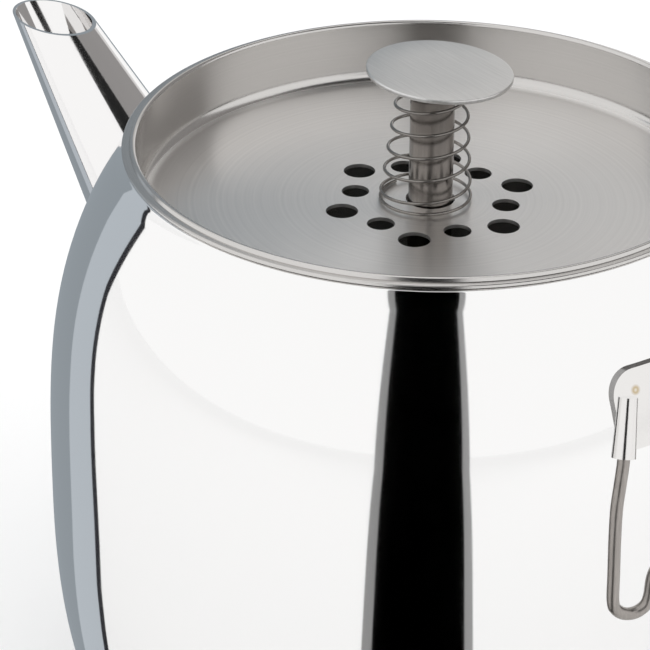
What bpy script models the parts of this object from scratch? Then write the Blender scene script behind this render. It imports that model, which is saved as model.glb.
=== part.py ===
"""Stove-top coffee percolator in polished steel: barrel pot, long straight spout, wire handle,
and a lift-out insert of spreader dish, sprung riser tube with bell foot, and ground-coffee basket.
Metres, +Z up. The origin is the centre of the pot's base on the pot's axis, the spout points
along +X and the handle is at -X."""

import math

import bmesh
import bpy
from mathutils import Matrix, Vector
from mathutils.geometry import interpolate_bezier

# Driving dimensions
DISH_RADIUS = 0.066  # outer edge of the dish's flange, which covers the pot's mouth
RIM_HEIGHT = 0.156  # top of that flange
BELLY_RADIUS = 0.0834
BELLY_HEIGHT = 0.072
BASE_RADIUS = 0.058
SHEET = 0.0008  # drawn sheet
GAP = 0.0003  # clearance between neighbouring pieces
TUBE_RADIUS = 0.00475
TUBE_BORE = 0.0040

# Pot
MOUTH_RADIUS = 0.0639
POT_TOP = RIM_HEIGHT - 0.0011
BASE_THICK = 0.0010
SPOUT_FOOT = Vector((0.0780, 0.0, 0.0830))
SPOUT_TIP = Vector((0.1420, 0.0, 0.1382))
SPOUT_FOOT_RADIUS = 0.0190
SPOUT_TIP_RADIUS = 0.0084
SPOUT_OVERRUN = 0.018  # length of cone beyond the mouth's middle before it is cut level
SPOUT_HOLE_RADIUS = 0.0125

# Bracket and wire handle
BRACKET_HALF_WIDTH = 0.0184
BRACKET_TOP = RIM_HEIGHT - 0.0180
BRACKET_BOTTOM = RIM_HEIGHT - 0.0335
BRACKET_THICK = 0.0012
BRACKET_CORNER = 0.0055
SOCKET_SIDE_TOP = 0.0158  # distance of a socket's axis from the mirror plane
SOCKET_SIDE_BOTTOM = 0.0190
SOCKET_RADIUS = 0.0025
SOCKET_TOP = RIM_HEIGHT - 0.0225
SOCKET_BOTTOM = BRACKET_BOTTOM - 0.0004
WIRE_RADIUS = 0.00130
WIRE_STANDOFF = 0.0019  # from the barrel's surface to the wire's axis
LEG_SIDE = 0.0219
BEND_RADIUS = 0.0039
BEND_TURN = math.radians(25.0)  # the bend's plane, from sideways towards outwards
BEND_HEIGHT = 0.0908

# Spreader dish
DISH_INNER = 0.0629
DISH_DEPTH = 0.0135
DISH_FILLET = 0.0030
RISER_HOLE_RADIUS = 0.0053
OUTER_HOLES = (0.0201, 0.00345, 9.1)  # ring radius, hole radius, angle of the first in degrees
INNER_HOLES = (0.0164, 0.00297, 39.1)
HOLES_PER_RING = 6
FLOOR_TOP = RIM_HEIGHT - DISH_DEPTH
FLOOR_UNDER = FLOOR_TOP - SHEET

# Riser, at its upper stop
DISC_TOP = RIM_HEIGHT + 0.0166
DISC_RADIUS = 0.0156
DISC_THICK = 0.0010
DISC_OFFSET = 0.0014  # the disc sits off the tube's axis, away from the spring's lean
DISC_TILT = math.radians(3.5)
STOP_HEIGHT = 0.0030
STOP_RADIUS = 0.0075
BELL_RADIUS = 0.0280
BELL_HEIGHT = 0.0150
FOOT_HEIGHT = 0.0075  # the bell's lower edge above the floor, with the riser at its upper stop

# Conical spring
SPRING_FOOT_RADIUS = 0.0097
SPRING_HEAD_RADIUS = 0.0072
SPRING_WIRE = 0.00035
SPRING_TURNS = 5.2
SPRING_CLOSED_TURNS = 1.0
SPRING_LEAN = 0.0011  # how far the spring's foot sits off the axis
LEAN_ANGLE = math.radians(50.0)
SPRING_POINTS_PER_TURN = 12

# Coffee basket
BASKET_RADIUS = 0.0520
BASKET_DEPTH = 0.0550
BASKET_SHEET = 0.0007
BASKET_TOP = FLOOR_UNDER - GAP
BASKET_CORNER = 0.0050
COLLAR_HEIGHT = 0.0100
SLEEVE_RADIUS = 0.0062
SLEEVE_BORE = 0.0053
SLEEVE_TOP = 0.1280
BASKET_HOLE_RADIUS = 0.0016
BASKET_HOLE_RINGS = ((0.0190, 8), (0.0300, 12), (0.0410, 16))
BASKET_HOLE_START = 3.7  # degrees

PROFILE_POINTS = 8  # on each half of the barrel's outline
BODY_STEPS = 56
DISH_STEPS = 56
SMALL_STEPS = 24


# ---------------------------------------------------------------- scene and materials


def clear_scene():
    for obj in list(bpy.data.objects):
        bpy.data.objects.remove(obj, do_unlink=True)


def new_collection(name, hidden=False):
    made = bpy.data.collections.new(name)
    made.hide_render = hidden
    bpy.context.scene.collection.children.link(made)
    return made


def steel(name, colour, roughness):
    made = bpy.data.materials.new(name)
    made.use_nodes = True
    shader = made.node_tree.nodes["Principled BSDF"]
    shader.inputs["Base Color"].default_value = (*colour, 1.0)
    shader.inputs["Roughness"].default_value = roughness
    shader.inputs["Metallic"].default_value = 1.0
    return made


def add_part(name, data, finish, parent=None):
    """Link a mesh or curve as one part, with a material of its own."""
    colour, roughness = finish
    obj = bpy.data.objects.new(name, data)
    data.materials.append(steel(name + "_steel", colour, roughness))
    PARTS.objects.link(obj)
    obj.parent = parent
    if parent is not None:
        obj.matrix_parent_inverse = Matrix.Translation(-parent.location)
    return obj


def add_cutter(name, data):
    obj = bpy.data.objects.new(name, data)
    obj.hide_render = True
    obj.display_type = "WIRE"
    CUTTERS.objects.link(obj)
    return obj


def add_axis(name, height):
    """An empty on the pot's axis that a sliding group is parented to."""
    empty = bpy.data.objects.new(name, None)
    empty.location = (0.0, 0.0, height)
    PARTS.objects.link(empty)
    return empty


# ---------------------------------------------------------------- shapes


def bezier(start, handle_a, handle_b, end, count):
    """Points (radius, height) along one cubic curve, both ends included."""
    points = interpolate_bezier(*(Vector((*p, 0.0)) for p in (start, handle_a, handle_b, end)), count)
    return [(p.x, p.y) for p in points]


def arc(centre, radius, first, last, count):
    """Points (radius, height) on an arc; angles in degrees from the outward direction."""
    found = []
    for i in range(count):
        angle = math.radians(first + (last - first) * i / (count - 1))
        found.append((centre[0] + radius * math.cos(angle), centre[1] + radius * math.sin(angle)))
    return found


def offset(profile, distance):
    """The profile moved sideways, to the left of its own direction for a positive distance."""
    moved = []
    for i, (r, z) in enumerate(profile):
        before = profile[max(i - 1, 0)]
        after = profile[min(i + 1, len(profile) - 1)]
        along = Vector((after[0] - before[0], after[1] - before[1])).normalized()
        moved.append((r - along.y * distance, z + along.x * distance))
    return moved


def ring_profile(outside, wall):
    """A closed loop: down the outside, then back up the inside, one wall thickness further in."""
    return outside + offset(outside, -wall)[::-1]


def turned_mesh(name, profile, closed=True):
    """A profile in the XZ plane turned about Z by a Screw modifier; closed loops make rings."""
    mesh = bpy.data.meshes.new(name)
    last = len(profile) if closed else len(profile) - 1
    edges = [(i, (i + 1) % len(profile)) for i in range(last)]
    mesh.from_pydata([(r, 0.0, z) for r, z in profile], edges, [])
    return mesh


def turn(obj, steps):
    screw = obj.modifiers.new("Turn", "SCREW")
    screw.steps = steps
    screw.render_steps = steps
    screw.use_merge_vertices = True
    screw.merge_threshold = 0.00001
    screw.use_smooth_shade = True
    return obj


def add_turned(name, profile, steps, finish, closed=True, parent=None):
    mesh = turned_mesh(name, profile, closed)
    return turn(add_part(name, mesh, finish, parent), steps)


def add_turned_cutter(name, profile, steps, closed=True):
    mesh = turned_mesh(name, profile, closed)
    return turn(add_cutter(name, mesh), steps)


def cone_mesh(name, start, end, radius_start, radius_end, sides):
    """A closed cone or cylinder between two points."""
    mesh = bpy.data.meshes.new(name)
    shape = bmesh.new()
    along = end - start
    bmesh.ops.create_cone(
        shape, cap_ends=True, segments=sides, radius1=radius_start, radius2=radius_end, depth=along.length
    )
    turn_to = along.to_track_quat("Z", "Y").to_matrix().to_4x4()
    bmesh.ops.transform(shape, matrix=Matrix.Translation((start + end) / 2) @ turn_to, verts=shape.verts)
    shape.to_mesh(mesh)
    shape.free()
    return mesh


def cut(obj, cutter, operation="DIFFERENCE"):
    boolean = obj.modifiers.new(cutter.name, "BOOLEAN")
    boolean.operation = operation
    boolean.solver = "EXACT"
    boolean.object = cutter


def upright_cylinders(name, places, radius, low, high, sides):
    """One cutter mesh of upright cylinders at (x, y) places."""
    mesh = bpy.data.meshes.new(name)
    shape = bmesh.new()
    for x, y in places:
        at = Matrix.Translation((x, y, (low + high) / 2))
        bmesh.ops.create_cone(
            shape, cap_ends=True, segments=sides, radius1=radius, radius2=radius, depth=high - low, matrix=at
        )
    shape.to_mesh(mesh)
    shape.free()
    return add_cutter(name, mesh)


def on_ring(radius, count, first_degrees=0.0):
    angles = [math.radians(first_degrees) + 2 * math.pi * i / count for i in range(count)]
    return [(radius * math.cos(a), radius * math.sin(a)) for a in angles]


def wire_curve(name, points, radius):
    """A round wire along a list of points."""
    curve = bpy.data.curves.new(name, "CURVE")
    curve.dimensions = "3D"
    curve.bevel_depth = radius
    curve.bevel_resolution = 2
    curve.use_fill_caps = True
    spline = curve.splines.new("POLY")
    spline.points.add(len(points) - 1)
    for point, place in zip(spline.points, points):
        point.co = (*place, 1.0)
    return curve


def smooth_path(points, per_span):
    """A Catmull-Rom curve through the points."""
    path = [Vector(p) for p in points]
    ends = [path[0] * 2 - path[1], *path, path[-1] * 2 - path[-2]]
    found = []
    for a, b, c, d in zip(ends, ends[1:], ends[2:], ends[3:]):
        for i in range(per_span):
            t = i / per_span
            found.append(
                0.5
                * (2 * b + (c - a) * t + (2 * a - 5 * b + 4 * c - d) * t**2 + (3 * b - a - 3 * c + d) * t**3)
            )
    return [*found, path[-1]]


# ---------------------------------------------------------------- pot


def pot_outside(count):
    """The barrel's outer line from the rim down to the base."""
    rim = (DISH_RADIUS - 0.0001, POT_TOP - 0.0010)
    belly = (BELLY_RADIUS, BELLY_HEIGHT)
    shoulder = bezier(rim, (0.0830, 0.1275), (BELLY_RADIUS, 0.1080), belly, count)
    hip = bezier(belly, (BELLY_RADIUS, 0.0380), (0.0780, 0.0135), (BASE_RADIUS, 0.0), count)
    return shoulder + hip[1:]


def pot_radius(height):
    """Outer radius of the barrel at a height."""
    line = pot_outside(40)
    for (r1, z1), (r2, z2) in zip(line, line[1:]):
        if z2 <= height <= z1:
            return r1 + (r2 - r1) * (z1 - height) / (z1 - z2)
    return line[0][0]


def make_pot():
    outside = pot_outside(PROFILE_POINTS)
    inside = [(max(r, BASE_RADIUS - SHEET), max(z, 0.0)) for r, z in offset(outside, -SHEET)]
    inside[0] = (MOUTH_RADIUS, POT_TOP - 0.0035)
    lip_outside = (DISH_RADIUS - 0.0008, POT_TOP)
    lip_inside = (MOUTH_RADIUS, POT_TOP)
    loop = [lip_outside, *outside, *inside[::-1], lip_inside]
    pot = add_turned("pot_body", loop, BODY_STEPS, POLISHED)
    hole = add_cutter(
        "spout_hole_cutter",
        cone_mesh(
            "spout_hole",
            SPOUT_FOOT - spout_direction() * 0.02,
            SPOUT_FOOT + spout_direction() * 0.02,
            SPOUT_HOLE_RADIUS,
            SPOUT_HOLE_RADIUS,
            24,
        ),
    )
    cut(pot, hole)
    base_edge = BASE_RADIUS - SHEET - GAP
    base = [(0.0, BASE_THICK), (base_edge, BASE_THICK), (base_edge, 0.0), (0.0, 0.0)]
    add_turned("pot_base", base, 48, SATIN, closed=False)


def spout_direction():
    return (SPOUT_TIP - SPOUT_FOOT).normalized()


def make_spout():
    """A straight cone, fitted round the barrel at its foot and cut level at its mouth."""
    along = spout_direction()
    length = (SPOUT_TIP - SPOUT_FOOT).length
    taper = (SPOUT_TIP_RADIUS - SPOUT_FOOT_RADIUS) / length
    start = SPOUT_FOOT - along * 0.020
    end = SPOUT_TIP + along * SPOUT_OVERRUN
    radius_start = SPOUT_FOOT_RADIUS - taper * 0.020
    radius_end = SPOUT_TIP_RADIUS + taper * SPOUT_OVERRUN
    spout = add_part("spout", cone_mesh("spout", start, end, radius_start, radius_end, 36), POLISHED)
    bore = cone_mesh(
        "spout_bore",
        start - along * 0.001,
        end + along * 0.001,
        radius_start - SHEET,
        radius_end - SHEET,
        36,
    )
    outside = pot_outside(PROFILE_POINTS)
    clear = offset(outside, GAP)
    clear[0] = (clear[0][0], clear[0][1] + 0.004)
    clear[-1] = (clear[-1][0], -0.004)
    body = [(0.0, clear[0][1]), *clear, (0.0, clear[-1][1])]
    body_cutter = add_turned_cutter("spout_body_cutter", body, BODY_STEPS, closed=False)
    level = bpy.data.meshes.new("spout_level")
    box = bmesh.new()
    bmesh.ops.create_cube(box, size=0.08)
    bmesh.ops.transform(box, matrix=Matrix.Translation(SPOUT_TIP + Vector((0, 0, 0.04))), verts=box.verts)
    box.to_mesh(level)
    box.free()
    bore_cutter = add_cutter("spout_bore_cutter", bore)
    level_cutter = add_cutter("spout_level_cutter", level)
    for cutter in (bore_cutter, body_cutter, level_cutter):
        cut(spout, cutter)


def socket_places(side):
    """The axis of one blind socket, leaning with the barrel's side: lower and upper ends."""
    standoff = GAP + SOCKET_RADIUS - 0.0004
    low = beside_pot(SOCKET_SIDE_BOTTOM, SOCKET_BOTTOM, standoff)
    high = beside_pot(SOCKET_SIDE_TOP, SOCKET_TOP, standoff)
    return [Vector((end.x, side * end.y, end.z)) for end in (low, high)]


def beside_pot(across, height, standoff):
    """A point on the handle's side of the barrel, a standoff away from its surface."""
    radius = pot_radius(height) + standoff
    return Vector((-math.sqrt(radius**2 - across**2), across, height))


def make_bracket():
    """A plate wrapped on the barrel, with a blind socket near each end for the wire."""
    heights = [BRACKET_TOP + 0.004, BRACKET_TOP, 0.5 * (BRACKET_TOP + BRACKET_BOTTOM), BRACKET_BOTTOM]
    heights.append(BRACKET_BOTTOM - 0.004)
    outer = [(pot_radius(z) + GAP + BRACKET_THICK, z) for z in heights]
    inner = [(pot_radius(z) + GAP, z) for z in heights]
    band = add_turned_cutter("bracket_band", outer + inner[::-1], BODY_STEPS)
    outline = bpy.data.curves.new("bracket_outline", "CURVE")
    outline.dimensions = "2D"
    outline.fill_mode = "BOTH"
    outline.extrude = 0.030
    spline = outline.splines.new("POLY")
    half_height = (BRACKET_TOP - BRACKET_BOTTOM) / 2
    corners = rounded_outline(BRACKET_HALF_WIDTH, half_height, BRACKET_CORNER, 0.0020)
    spline.points.add(len(corners) - 1)
    for point, (x, y) in zip(spline.points, corners):
        point.co = (x, y, 0.0, 1.0)
    spline.use_cyclic_u = True
    stand = Matrix(((0, 0, 1, 0), (1, 0, 0, 0), (0, 1, 0, 0), (0, 0, 0, 1)))
    place = Matrix.Translation((-0.085, 0.0, (BRACKET_TOP + BRACKET_BOTTOM) / 2)) @ stand
    bracket = mesh_from_curve("handle_bracket", outline, place, BRUSHED)
    cut(bracket, band, "INTERSECT")
    for side in (-1, 1):
        low, high = socket_places(side)
        axis = (high - low).normalized()
        dome = cone_mesh("socket", low, high, SOCKET_RADIUS, SOCKET_RADIUS * 0.8, 20)
        hole = cone_mesh(
            "socket_hole", low - axis * 0.01, high - axis * 0.0014, WIRE_RADIUS + GAP, WIRE_RADIUS + GAP, 16
        )
        cut(bracket, add_cutter(f"socket_shape_{side}", dome), "UNION")
        cut(bracket, add_cutter(f"socket_hole_{side}", hole))
    body = [(0.0, POT_TOP), *offset(pot_outside(PROFILE_POINTS), GAP), (0.0, 0.0)]
    cut(bracket, add_turned_cutter("bracket_body_cutter", body, BODY_STEPS, closed=False))


def rounded_outline(half_width, half_height, top_corner, bottom_corner):
    """A rectangle with two rounded upper corners and two slightly eased lower ones."""
    points = []
    for x_sign, y_sign, first, corner in (
        (1, 1, 0, top_corner),
        (-1, 1, 90, top_corner),
        (-1, -1, 180, bottom_corner),
        (1, -1, 270, bottom_corner),
    ):
        centre = (x_sign * (half_width - corner), y_sign * (half_height - corner))
        points += arc(centre, corner, first, first + 90, 5)
    return points


def mesh_from_curve(name, curve, matrix, finish):
    """A part made as a closed mesh from a curve, so that it can take Booleans."""
    source = bpy.data.objects.new(name + "_source", curve)
    source.matrix_world = matrix
    bpy.context.scene.collection.objects.link(source)
    bpy.context.view_layer.update()
    graph = bpy.context.evaluated_depsgraph_get()
    mesh = bpy.data.meshes.new_from_object(source.evaluated_get(graph))
    mesh.name = name
    bpy.data.objects.remove(source, do_unlink=True)
    shape = bmesh.new()
    shape.from_mesh(mesh)
    bmesh.ops.remove_doubles(shape, verts=shape.verts, dist=0.00001)
    bmesh.ops.recalc_face_normals(shape, faces=shape.faces)
    shape.to_mesh(mesh)
    shape.free()
    mesh.materials.clear()
    obj = add_part(name, mesh, finish)
    obj.matrix_world = matrix
    return obj


def handle_path():
    """One side of the wire: out of its socket, down the barrel, round a tight bend, and up the grip."""
    low, high = socket_places(1)
    axis = (high - low).normalized()
    leg = [low + axis * 0.0070, low + axis * 0.0035, low - axis * 0.0010]
    for across, height in ((0.0201, 0.1160), (0.0211, 0.1115), (0.0217, 0.1050), (LEG_SIDE, 0.0970)):
        leg.append(beside_pot(across, height, WIRE_STANDOFF))
    start = beside_pot(LEG_SIDE, BEND_HEIGHT, WIRE_STANDOFF)
    inwards = Vector((-math.sin(BEND_TURN), -math.cos(BEND_TURN), 0.0))
    bend = []
    for degrees in range(0, 181, 36):
        angle = math.radians(degrees)
        sideways = BEND_RADIUS * (1 - math.cos(angle))
        bend.append(start + inwards * sideways - Vector((0.0, 0.0, BEND_RADIUS * math.sin(angle))))
    rise = bend[-1]
    grip = [
        Vector((rise.x - 0.0010, rise.y, 0.0970)),
        Vector((rise.x - 0.0060, rise.y, 0.1050)),
        Vector((-0.1015, rise.y, 0.1150)),
        Vector((-0.1105, rise.y, 0.1260)),
        Vector((-0.1160, rise.y, 0.1370)),
        Vector((-0.1180, rise.y * 0.92, 0.1445)),
        Vector((-0.1185, rise.y * 0.66, 0.1485)),
        Vector((-0.1185, rise.y * 0.33, 0.1500)),
        Vector((-0.1185, 0.0000, 0.1503)),
    ]
    return leg + bend + grip


def make_handle():
    side = handle_path()
    other = [Vector((p.x, -p.y, p.z)) for p in side[-2::-1]]
    add_part("wire_handle", wire_curve("wire_handle", smooth_path(side + other, 2), WIRE_RADIUS), POLISHED)


# ---------------------------------------------------------------- insert


def dish_profile(corner_points):
    """The dish's upper surface from its flange's edge to the hole, then back along the underside."""
    edge = (DISH_RADIUS, RIM_HEIGHT - 0.0004)
    lip_centre = (DISH_INNER + 0.0008, RIM_HEIGHT)
    fillet_centre = (DISH_INNER - DISH_FILLET, FLOOR_TOP + DISH_FILLET)
    top = [edge, (DISH_RADIUS - 0.0004, RIM_HEIGHT)]
    top += arc(lip_centre, 0.0008, 60, 180, 4)
    top += arc(fillet_centre, DISH_FILLET, 0, -90, corner_points)
    top += [(RISER_HOLE_RADIUS, FLOOR_TOP)]
    under = [(RISER_HOLE_RADIUS, FLOOR_UNDER)]
    under += arc(fillet_centre, DISH_FILLET + SHEET, -90, 0, corner_points)
    under += [(DISH_INNER + SHEET, RIM_HEIGHT - SHEET), (DISH_RADIUS, RIM_HEIGHT - SHEET)]
    return [*top, *under][::-1]


def make_dish(axis):
    dish = add_turned("spreader_dish", dish_profile(4), DISH_STEPS, BRUSHED, parent=axis)
    low = FLOOR_UNDER - 0.002
    high = FLOOR_TOP + 0.002
    for name, (ring, radius, first) in (("outer", OUTER_HOLES), ("inner", INNER_HOLES)):
        places = on_ring(ring, HOLES_PER_RING, first)
        cut(dish, upright_cylinders(f"dish_{name}_holes", places, radius, low, high, 16))
    top = BASKET_TOP
    outer = BASKET_RADIUS - BASKET_SHEET - GAP
    collar = [(outer, top), (outer, top - COLLAR_HEIGHT)]
    add_turned("basket_collar", ring_profile(collar, SHEET), 48, SATIN, parent=axis)


def spring_points():
    """A closed turn on the dish's floor, then an open conical coil up to the disc."""
    start = FLOOR_TOP + SPRING_WIRE + 0.0001
    end = DISC_TOP - DISC_THICK - SPRING_WIRE - 4 * GAP
    total = SPRING_TURNS + SPRING_CLOSED_TURNS
    count = int(total * SPRING_POINTS_PER_TURN)
    closed_rise = 2.6 * SPRING_WIRE
    found = []
    for i in range(count + 1):
        turns = total * i / count
        share = max(turns - SPRING_CLOSED_TURNS, 0.0) / SPRING_TURNS
        radius = SPRING_FOOT_RADIUS + (SPRING_HEAD_RADIUS - SPRING_FOOT_RADIUS) * share
        closed = min(turns / SPRING_CLOSED_TURNS, 1.0)
        height = start + closed_rise * closed + (end - start - closed_rise) * share
        angle = 2 * math.pi * turns
        lean = SPRING_LEAN * (1.0 - share)
        x = radius * math.cos(angle) + lean * math.cos(LEAN_ANGLE)
        y = radius * math.sin(angle) + lean * math.sin(LEAN_ANGLE)
        found.append(Vector((x, y, height)))
    return found


def make_spring(axis):
    curve = wire_curve("conical_spring", spring_points(), SPRING_WIRE)
    curve.bevel_resolution = 1
    add_part("conical_spring", curve, POLISHED, axis)


def make_riser(axis):
    disc_under = DISC_TOP - DISC_THICK
    disc = [
        (0.0, 0.0),
        (DISC_RADIUS - 0.0003, 0.0),
        (DISC_RADIUS, -0.0003),
        (DISC_RADIUS, -DISC_THICK),
        (0.0, -DISC_THICK),
    ]
    plate = add_turned("press_disc", disc, 48, BRUSHED, closed=False, parent=axis)
    away = Vector((-math.cos(LEAN_ANGLE), -math.sin(LEAN_ANGLE), 0.0))
    tilt = Matrix.Rotation(DISC_TILT, 4, Vector((0, 0, 1)).cross(away))
    plate.matrix_basis = Matrix.Translation(away * DISC_OFFSET + Vector((0, 0, DISC_TOP))) @ tilt
    tube_top = disc_under - 3 * GAP
    tube_low = FOOT_HEIGHT + BELL_HEIGHT - 0.0030
    tube = [(TUBE_RADIUS, tube_top), (TUBE_RADIUS, tube_low)]
    tube_loop = ring_profile(tube, TUBE_RADIUS - TUBE_BORE)
    riser = add_turned("riser_tube", tube_loop, SMALL_STEPS, BRUSHED, parent=axis)
    slot = upright_slots("riser_slots", tube_top - 0.0055, tube_top - 0.0020)
    cut(riser, slot)
    stop_top = FLOOR_UNDER - GAP
    stop = [(STOP_RADIUS, stop_top), (STOP_RADIUS, stop_top - STOP_HEIGHT)]
    stop_wall = STOP_RADIUS - TUBE_RADIUS - GAP
    add_turned("stop_collar", ring_profile(stop, stop_wall), SMALL_STEPS, BRUSHED, parent=axis)
    make_bell(axis, tube_low)


def upright_slots(name, low, high):
    """A bar that cuts two opposite outlets through the tube's wall, below the disc."""
    mesh = bpy.data.meshes.new(name)
    shape = bmesh.new()
    turn_to = Matrix.Rotation(LEAN_ANGLE, 4, "Z")
    size = Matrix.Diagonal((0.0300, 0.0026, high - low, 1.0))
    place = Matrix.Translation((0, 0, (low + high) / 2))
    bmesh.ops.create_cube(shape, size=1.0, matrix=place @ turn_to @ size)
    shape.to_mesh(mesh)
    shape.free()
    return add_cutter(name, mesh)


def make_bell(axis, tube_low):
    """A flared foot that gathers the boiling water under the tube."""
    neck = TUBE_RADIUS + GAP + SHEET
    top = FOOT_HEIGHT + BELL_HEIGHT
    flare = bezier(
        (neck, top),
        (neck, FOOT_HEIGHT + 0.0060),
        (0.0200, FOOT_HEIGHT + 0.0085),
        (BELL_RADIUS, FOOT_HEIGHT),
        6,
    )
    add_turned("bell_foot", ring_profile(flare, SHEET), 32, SATIN, parent=axis)


# ---------------------------------------------------------------- basket


def make_basket(axis):
    low = BASKET_TOP - BASKET_DEPTH
    centre = (BASKET_RADIUS - BASKET_CORNER, low + BASKET_CORNER)
    outside = [(BASKET_RADIUS, BASKET_TOP), *arc(centre, BASKET_CORNER, 0, -90, 4)]
    ledge = 0.0035
    outside.append((centre[0] - ledge, low))
    add_turned("coffee_basket", ring_profile(outside, BASKET_SHEET), 44, SATIN, parent=axis)
    floor_low = low + BASKET_SHEET + GAP
    floor_edge = centre[0]
    floor_profile = [
        (floor_edge, floor_low + BASKET_SHEET),
        (floor_edge, floor_low),
        (SLEEVE_RADIUS + GAP, floor_low),
        (SLEEVE_RADIUS + GAP, floor_low + BASKET_SHEET),
    ]
    floor = add_turned("basket_floor", floor_profile, 40, SATIN, parent=axis)
    places = []
    for ring, count in BASKET_HOLE_RINGS:
        places += on_ring(ring, count, BASKET_HOLE_START)
    hole_low = floor_low - 0.002
    hole_high = floor_low + 0.003
    cut(floor, upright_cylinders("basket_holes", places, BASKET_HOLE_RADIUS, hole_low, hole_high, 8))
    sleeve = [(SLEEVE_RADIUS, SLEEVE_TOP), (SLEEVE_RADIUS, low)]
    sleeve_loop = ring_profile(sleeve, SLEEVE_RADIUS - SLEEVE_BORE)
    add_turned("basket_sleeve", sleeve_loop, SMALL_STEPS, SATIN, parent=axis)


POLISHED = ((0.74, 0.74, 0.73), 0.08)
BRUSHED = ((0.66, 0.65, 0.62), 0.32)
SATIN = ((0.70, 0.70, 0.69), 0.22)

clear_scene()
PARTS = new_collection("coffee_percolator")
CUTTERS = new_collection("cutters", hidden=True)
make_pot()
make_spout()
make_bracket()
make_handle()
dish_axis = add_axis("insert_axis", RIM_HEIGHT)
riser_axis = add_axis("riser_axis", DISC_TOP)
basket_axis = add_axis("basket_axis", BASKET_TOP)
make_dish(dish_axis)
make_spring(dish_axis)
make_riser(riser_axis)
make_basket(basket_axis)
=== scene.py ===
"""Looks of the coffee percolator: fine turned meshes in polished, brushed and satin steel on the
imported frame, with a plain pale floor and a soft studio round it. Metres, +Z up."""

import math

import bmesh
import bpy
from mathutils import Matrix, Vector
from mathutils.geometry import interpolate_bezier


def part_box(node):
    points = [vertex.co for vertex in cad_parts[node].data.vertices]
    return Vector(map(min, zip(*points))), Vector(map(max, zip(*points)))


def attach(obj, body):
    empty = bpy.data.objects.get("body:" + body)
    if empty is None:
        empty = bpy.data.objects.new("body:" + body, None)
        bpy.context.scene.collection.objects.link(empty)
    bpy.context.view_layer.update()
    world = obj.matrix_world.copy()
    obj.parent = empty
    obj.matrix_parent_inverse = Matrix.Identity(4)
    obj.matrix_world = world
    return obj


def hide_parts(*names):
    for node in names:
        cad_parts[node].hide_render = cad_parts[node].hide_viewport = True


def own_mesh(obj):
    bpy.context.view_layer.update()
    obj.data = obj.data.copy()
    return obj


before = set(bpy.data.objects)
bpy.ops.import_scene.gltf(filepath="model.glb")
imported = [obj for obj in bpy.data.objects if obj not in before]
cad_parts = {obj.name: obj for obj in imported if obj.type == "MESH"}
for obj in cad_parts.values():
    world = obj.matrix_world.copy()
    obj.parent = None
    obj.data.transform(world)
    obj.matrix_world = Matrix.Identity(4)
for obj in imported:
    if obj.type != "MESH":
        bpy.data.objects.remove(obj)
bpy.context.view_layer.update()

# ---------------------------------------------------------------- sizes, from the frame
pot_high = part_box("pot_body")[1]
dish_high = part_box("spreader_dish")[1]
spring_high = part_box("conical_spring")[1]
tube_low, tube_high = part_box("riser_tube")
basket_low, basket_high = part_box("coffee_basket")
bell_low, bell_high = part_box("bell_foot")

SHEET = 0.0008
GAP = 0.0003
DISH_RADIUS = dish_high.x
LIP = 0.0008
RIM_HEIGHT = dish_high.z - LIP
BELLY_RADIUS = pot_high.y
BELLY_HEIGHT = 0.072
BASE_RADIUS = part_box("pot_base")[1].x + SHEET + GAP
POT_TOP = pot_high.z
MOUTH_RADIUS = 0.0639
MOUTH_DEPTH = 0.0035
RIM_EDGE = 0.0007
SHOULDER_HANDLES = ((0.0830, 0.1275), (BELLY_RADIUS, 0.1080))
HIP_HANDLES = ((BELLY_RADIUS, 0.0380), (0.0780, 0.0135))
BARREL_MARGIN = 0.004  # how far a cutter in the barrel's shape goes past its top and bottom
TUBE_RADIUS = tube_high.y
TUBE_BORE = 0.0040
OUTLET_HIGH = 0.0020  # the outlets' edges, down from the tube's top
OUTLET_LOW = 0.0055
OUTLET_WIDTH = 0.0026
OUTLET_CUT = 0.0300

SPOUT_FOOT = Vector((0.0780, 0.0, 0.0830))
SPOUT_TIP = Vector((0.1420, 0.0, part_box("spout")[1].z))
SPOUT_FOOT_RADIUS = 0.0190
SPOUT_TIP_RADIUS = 0.0084
SPOUT_BACK = 0.020  # how far it starts inside the barrel, before it is cut to the barrel's shape
SPOUT_OVERRUN = 0.018
SPOUT_SIDES = 128
BORE_MARGIN = 0.001
LEVEL_BOX = 0.08
SPOUT_HOLE_RADIUS = 0.0125
SPOUT_LIP_BEVEL = 0.00018

BRACKET_HALF_WIDTH = 0.0184
BRACKET_TOP = RIM_HEIGHT - 0.0180
BRACKET_BOTTOM = RIM_HEIGHT - 0.0335
BRACKET_THICK = 0.0012
BRACKET_CORNER = 0.0055
BRACKET_LOW_CORNER = 0.0020
BRACKET_BEVEL = 0.00025
BRACKET_ROUND_STEPS = 360
WELD_RADIUS = 0.0012
WELD_SIDE = 0.0132
WELD_HEIGHT = RIM_HEIGHT - 0.0221
SOCKET_SIDE_TOP = 0.0158
SOCKET_SIDE_BOTTOM = 0.0190
SOCKET_RADIUS = 0.0025
SOCKET_TAPER = 0.8
SOCKET_SINK = 0.0004
SOCKET_CAP = 0.0014
SOCKET_TOP = RIM_HEIGHT - 0.0225
SOCKET_BOTTOM = BRACKET_BOTTOM - 0.0004
WIRE_RADIUS = 0.00130
WIRE_STANDOFF = 0.0019
LEG_SIDE = 0.0219
BEND_RADIUS = 0.0039
BEND_TURN = math.radians(25.0)  # the bend's plane, from sideways towards outwards
BEND_HEIGHT = 0.0908
LEG_POINTS = ((0.0201, 0.1160), (0.0211, 0.1115), (0.0217, 0.1050), (LEG_SIDE, 0.0970))
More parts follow.
